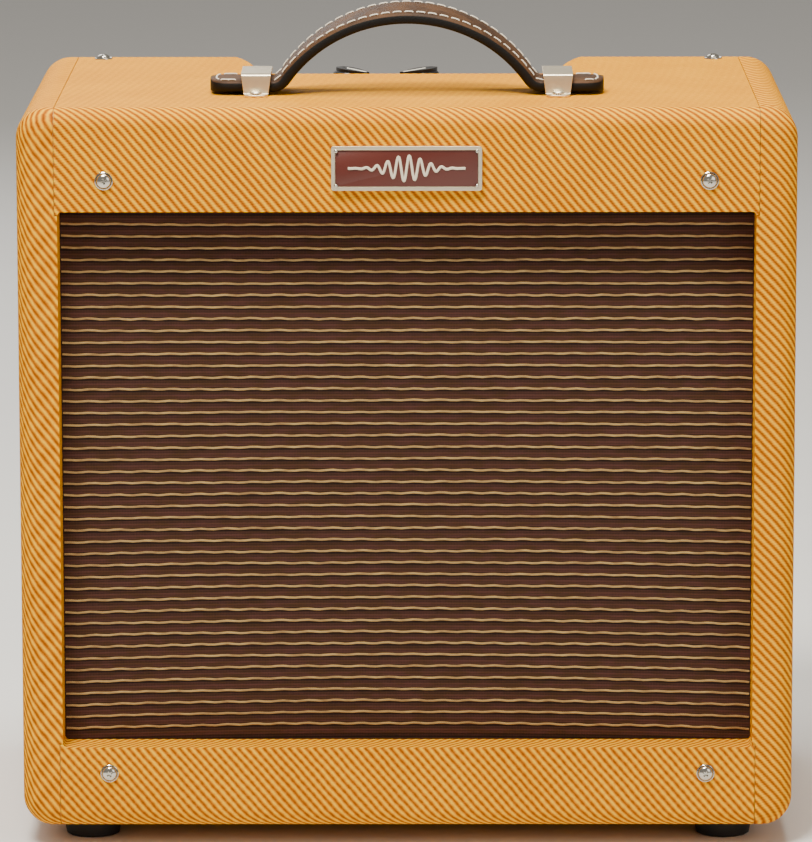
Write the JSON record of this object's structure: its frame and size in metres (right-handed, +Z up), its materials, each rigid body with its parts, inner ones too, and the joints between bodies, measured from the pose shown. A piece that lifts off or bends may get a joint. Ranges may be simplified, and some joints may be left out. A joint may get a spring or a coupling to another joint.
{
  "type": "guitar amplifier",
  "caption": "Compact cloth-covered valve guitar combo with an arched strap handle, woven grille, top-rear control recess, open back and inner loudspeaker.",
  "frame": {"origin": "on the floor, under the middle of the amplifier's bounding box", "axes": "+Z up, the grille faces -Y, the controls and the open back face +Y, +X is to the right seen from the front"},
  "size_m": [0.387, 0.237, 0.4174],
  "materials": {
    "pine": "bare",
    "tweed": "lacquered diagonal twill",
    "covered_board": "covered in lacquered diagonal twill",
    "baffle_board": "matte black stain",
    "grille_weave": "dark weave with gold threads",
    "chrome": "polished",
    "nickel": "nickel plate",
    "zinc": "zinc plate",
    "black_metal": "satin black",
    "leather": "waxed",
    "rubber": "matte",
    "bakelite": "gloss black",
    "black_plastic": "moulded",
    "nameplate_enamel": "maroon enamel in a bright rim",
    "cone_paper": "pressed paper",
    "spider_cloth": "resin-dipped cloth",
    "copper": "enamelled wire",
    "tube_glass": "clear",
    "board": "fibre board",
    "jewel": "faceted red"
  },
  "bodies": {
    "cabinet": {"side_panel_left": "pine", "side_panel_right": "pine", "top_panel": "pine", "bottom_panel": "pine", "front_rail_top": "pine", "front_rail_bottom": "pine", "covering_left": "tweed", "covering_right": "tweed", "covering_top": "tweed", "covering_bottom": "tweed", "speaker_baffle": "baffle_board", "grille_cloth": "grille_weave", "back_panel_upper": "covered_board", "back_panel_lower": "covered_board", "nameplate": "nameplate_enamel", "rail_screw_top_left": "chrome", "rail_screw_top_right": "chrome", "rail_screw_bottom_left": "chrome", "rail_screw_bottom_right": "chrome", "chassis_screw_left": "chrome", "chassis_screw_right": "chrome", "foot_front_left": "rubber", "foot_rear_left": "rubber", "foot_front_right": "rubber", "foot_rear_right": "rubber", "handle_strap": "leather", "handle_clip_left": "nickel", "handle_clip_right": "nickel", "handle_screw_front_left": "nickel", "handle_screw_rear_left": "nickel", "handle_screw_front_right": "nickel", "handle_screw_rear_right": "nickel", "speaker_frame": "zinc", "speaker_magnet": "black_metal", "speaker_surround": "cone_paper", "speaker_spider": "spider_cloth", "chassis": "chrome", "tube_deck": "zinc", "power_tube_1": "tube_glass", "power_tube_2": "tube_glass", "preamp_tube_1": "tube_glass", "preamp_tube_2": "tube_glass", "power_transformer": "black_metal", "output_transformer": "black_metal", "circuit_board": "board", "volume_pot": "zinc", "tone_pot": "zinc", "input_jack": "black_plastic", "pilot_jewel": "jewel", "power_switch": "nickel", "fuse_holder": "bakelite", "mains_inlet": "black_plastic"},
    "volume_control": {"volume_knob": "bakelite", "volume_shaft": "zinc"},
    "tone_control": {"tone_knob": "bakelite", "tone_shaft": "zinc"},
    "switch_toggle": {"switch_lever": "chrome"},
    "cone_assembly": {"speaker_cone": "cone_paper", "voice_coil": "copper"},
    "fuse_drawer": {"fuse_cap": "bakelite"}
  },
  "joints": [
    {"name": "volume_turn", "type": "hinge", "parent": "cabinet", "child": "volume_control", "pos_m": [-0.031, 0.075, 0.3538], "axis": [0, 0, 1], "range_deg": [-180, 120]},
    {"name": "tone_turn", "type": "hinge", "parent": "cabinet", "child": "tone_control", "pos_m": [0.008, 0.075, 0.3538], "axis": [0, 0, 1], "range_deg": [-115, 185]},
    {"name": "switch_throw", "type": "hinge", "parent": "cabinet", "child": "switch_toggle", "pos_m": [0.066, 0.075, 0.3538], "axis": [1, 0, 0], "range_deg": [-24, 0]},
    {"name": "cone_travel", "type": "slide", "parent": "cabinet", "child": "cone_assembly", "axis": [0, 1, 0], "range_m": [-0.003, 0.003], "stiffness_N_per_m": 3000, "deforming": ["speaker_surround", "speaker_spider"]},
    {"name": "fuse_turn", "type": "hinge", "parent": "cabinet", "child": "fuse_drawer", "pos_m": [0.012, 0.105, 0.3308], "axis": [0, 1, 0], "range_deg": [-60, 0]}
  ]
}
